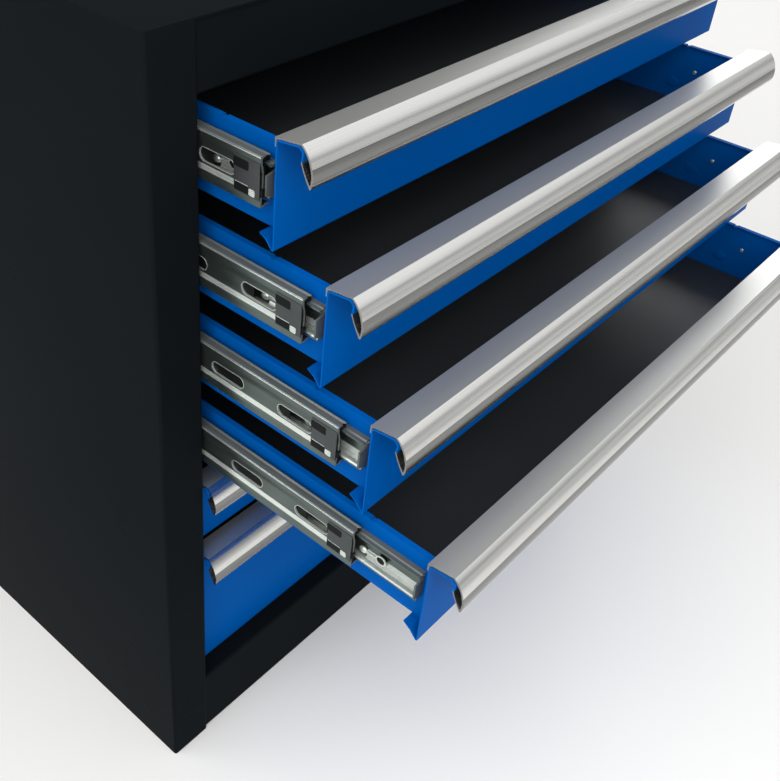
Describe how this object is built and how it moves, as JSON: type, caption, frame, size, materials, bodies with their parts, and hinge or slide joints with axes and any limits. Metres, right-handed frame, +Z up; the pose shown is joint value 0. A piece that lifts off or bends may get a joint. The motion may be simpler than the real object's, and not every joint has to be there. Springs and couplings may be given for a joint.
{
  "type": "drawer tool cabinet",
  "caption": "Steel tool cabinet with full-width blue drawers on three-part ball bearing runners, aluminium handle strips and rubber mats; upper drawers stand open.",
  "frame": {"origin": "middle of the base on the floor", "axes": "+X to the right seen from the front, +Y from the front to the back, +Z up"},
  "size_m": [0.65, 0.68, 0.645],
  "materials": {
    "body_paint": "satin black powder coat",
    "drawer_paint": "smooth blue powder coat",
    "handle_aluminium": "extruded, bright, lengthwise drawn",
    "runner_zinc": "zinc plated cold rolled strip",
    "cage_steel": "plain pressed strip",
    "mat_rubber": "matte dark grey sheet"
  },
  "bodies": {
    "cabinet": {"side_left": "body_paint", "side_right": "body_paint", "back_panel": "body_paint", "top_panel": "body_paint", "floor_panel": "body_paint", "base_rail": "body_paint", "top_rail": "body_paint", "upright_left": "body_paint", "upright_right": "body_paint", "cabinet_runners_left": "runner_zinc", "cabinet_runners_right": "runner_zinc"},
    "middle_1": {"drawer_1_middle_runners": "runner_zinc"},
    "drawer_1": {"drawer_1_front": "drawer_paint", "drawer_1_handle": "handle_aluminium", "drawer_1_box": "drawer_paint", "drawer_1_mat": "mat_rubber", "drawer_1_inner_runners": "runner_zinc"},
    "inner_cage_1": {"drawer_1_inner_cages": "cage_steel"},
    "outer_cage_1": {"drawer_1_outer_cages": "cage_steel"},
    "middle_2": {"drawer_2_middle_runners": "runner_zinc"},
    "drawer_2": {"drawer_2_front": "drawer_paint", "drawer_2_handle": "handle_aluminium", "drawer_2_box": "drawer_paint", "drawer_2_mat": "mat_rubber", "drawer_2_inner_runners": "runner_zinc"},
    "inner_cage_2": {"drawer_2_inner_cages": "cage_steel"},
    "outer_cage_2": {"drawer_2_outer_cages": "cage_steel"},
    "middle_3": {"drawer_3_middle_runners": "runner_zinc"},
    "drawer_3": {"drawer_3_front": "drawer_paint", "drawer_3_handle": "handle_aluminium", "drawer_3_box": "drawer_paint", "drawer_3_mat": "mat_rubber", "drawer_3_inner_runners": "runner_zinc"},
    "inner_cage_3": {"drawer_3_inner_cages": "cage_steel"},
    "outer_cage_3": {"drawer_3_outer_cages": "cage_steel"},
    "middle_4": {"drawer_4_middle_runners": "runner_zinc"},
    "drawer_4": {"drawer_4_front": "drawer_paint", "drawer_4_handle": "handle_aluminium", "drawer_4_box": "drawer_paint", "drawer_4_mat": "mat_rubber", "drawer_4_inner_runners": "runner_zinc"},
    "inner_cage_4": {"drawer_4_inner_cages": "cage_steel"},
    "outer_cage_4": {"drawer_4_outer_cages": "cage_steel"},
    "middle_5": {"drawer_5_middle_runners": "runner_zinc"},
    "drawer_5": {"drawer_5_front": "drawer_paint", "drawer_5_handle": "handle_aluminium", "drawer_5_box": "drawer_paint", "drawer_5_mat": "mat_rubber", "drawer_5_inner_runners": "runner_zinc"},
    "inner_cage_5": {"drawer_5_inner_cages": "cage_steel"},
    "outer_cage_5": {"drawer_5_outer_cages": "cage_steel"},
    "middle_6": {"drawer_6_middle_runners": "runner_zinc"},
    "drawer_6": {"drawer_6_front": "drawer_paint", "drawer_6_handle": "handle_aluminium", "drawer_6_box": "drawer_paint", "drawer_6_mat": "mat_rubber", "drawer_6_inner_runners": "runner_zinc"},
    "inner_cage_6": {"drawer_6_inner_cages": "cage_steel"},
    "outer_cage_6": {"drawer_6_outer_cages": "cage_steel"}
  },
  "joints": [
    {"name": "middle_1_slide", "type": "slide", "parent": "cabinet", "child": "middle_1", "axis": [0, -1, 0], "range_m": [-0.0751, 0.1199]},
    {"name": "drawer_1_slide", "type": "slide", "parent": "middle_1", "child": "drawer_1", "axis": [0, -1, 0], "range_m": [0, 0.195]},
    {"name": "inner_cage_1_slide", "type": "slide", "parent": "middle_1", "child": "inner_cage_1", "axis": [0, -1, 0], "range_m": [0, 0.0975]},
    {"name": "outer_cage_1_slide", "type": "slide", "parent": "cabinet", "child": "outer_cage_1", "axis": [0, -1, 0], "range_m": [-0.03755, 0.05995]},
    {"name": "middle_2_slide", "type": "slide", "parent": "cabinet", "child": "middle_2", "axis": [0, -1, 0], "range_m": [-0.111, 0.084]},
    {"name": "drawer_2_slide", "type": "slide", "parent": "middle_2", "child": "drawer_2", "axis": [0, -1, 0], "range_m": [-0.0065, 0.1885]},
    {"name": "inner_cage_2_slide", "type": "slide", "parent": "middle_2", "child": "inner_cage_2", "axis": [0, -1, 0], "range_m": [-0.00325, 0.09425]},
    {"name": "outer_cage_2_slide", "type": "slide", "parent": "cabinet", "child": "outer_cage_2", "axis": [0, -1, 0], "range_m": [-0.0555, 0.042]},
    {"name": "middle_3_slide", "type": "slide", "parent": "cabinet", "child": "middle_3", "axis": [0, -1, 0], "range_m": [-0.1446, 0.0504]},
    {"name": "drawer_3_slide", "type": "slide", "parent": "middle_3", "child": "drawer_3", "axis": [0, -1, 0], "range_m": [-0.0135, 0.1815]},
    {"name": "inner_cage_3_slide", "type": "slide", "parent": "middle_3", "child": "inner_cage_3", "axis": [0, -1, 0], "range_m": [-0.00675, 0.09075]},
    {"name": "outer_cage_3_slide", "type": "slide", "parent": "cabinet", "child": "outer_cage_3", "axis": [0, -1, 0], "range_m": [-0.0723, 0.0252]},
    {"name": "middle_4_slide", "type": "slide", "parent": "cabinet", "child": "middle_4", "axis": [0, -1, 0], "range_m": [-0.1641, 0.0309]},
    {"name": "drawer_4_slide", "type": "slide", "parent": "middle_4", "child": "drawer_4", "axis": [0, -1, 0], "range_m": [-0.0468, 0.1482]},
    {"name": "inner_cage_4_slide", "type": "slide", "parent": "middle_4", "child": "inner_cage_4", "axis": [0, -1, 0], "range_m": [-0.0234, 0.0741]},
    {"name": "outer_cage_4_slide", "type": "slide", "parent": "cabinet", "child": "outer_cage_4", "axis": [0, -1, 0], "range_m": [-0.08205, 0.01545]},
    {"name": "middle_5_slide", "type": "slide", "parent": "cabinet", "child": "middle_5", "axis": [0, -1, 0], "range_m": [0, 0.195]},
    {"name": "drawer_5_slide", "type": "slide", "parent": "middle_5", "child": "drawer_5", "axis": [0, -1, 0], "range_m": [0, 0.195]},
    {"name": "inner_cage_5_slide", "type": "slide", "parent": "middle_5", "child": "inner_cage_5", "axis": [0, -1, 0], "range_m": [0, 0.0975]},
    {"name": "outer_cage_5_slide", "type": "slide", "parent": "cabinet", "child": "outer_cage_5", "axis": [0, -1, 0], "range_m": [0, 0.0975]},
    {"name": "middle_6_slide", "type": "slide", "parent": "cabinet", "child": "middle_6", "axis": [0, -1, 0], "range_m": [0, 0.195]},
    {"name": "drawer_6_slide", "type": "slide", "parent": "middle_6", "child": "drawer_6", "axis": [0, -1, 0], "range_m": [0, 0.195]},
    {"name": "inner_cage_6_slide", "type": "slide", "parent": "middle_6", "child": "inner_cage_6", "axis": [0, -1, 0], "range_m": [0, 0.0975]},
    {"name": "outer_cage_6_slide", "type": "slide", "parent": "cabinet", "child": "outer_cage_6", "axis": [0, -1, 0], "range_m": [0, 0.0975]}
  ],
  "couplings": [
    {"joint": "inner_cage_1_slide", "follows": "drawer_1_slide", "ratio": 0.5},
    {"joint": "outer_cage_1_slide", "follows": "middle_1_slide", "ratio": 0.5},
    {"joint": "inner_cage_2_slide", "follows": "drawer_2_slide", "ratio": 0.5},
    {"joint": "outer_cage_2_slide", "follows": "middle_2_slide", "ratio": 0.5},
    {"joint": "inner_cage_3_slide", "follows": "drawer_3_slide", "ratio": 0.5},
    {"joint": "outer_cage_3_slide", "follows": "middle_3_slide", "ratio": 0.5},
    {"joint": "inner_cage_4_slide", "follows": "drawer_4_slide", "ratio": 0.5},
    {"joint": "outer_cage_4_slide", "follows": "middle_4_slide", "ratio": 0.5},
    {"joint": "inner_cage_5_slide", "follows": "drawer_5_slide", "ratio": 0.5},
    {"joint": "outer_cage_5_slide", "follows": "middle_5_slide", "ratio": 0.5},
    {"joint": "inner_cage_6_slide", "follows": "drawer_6_slide", "ratio": 0.5},
    {"joint": "outer_cage_6_slide", "follows": "middle_6_slide", "ratio": 0.5}
  ]
}
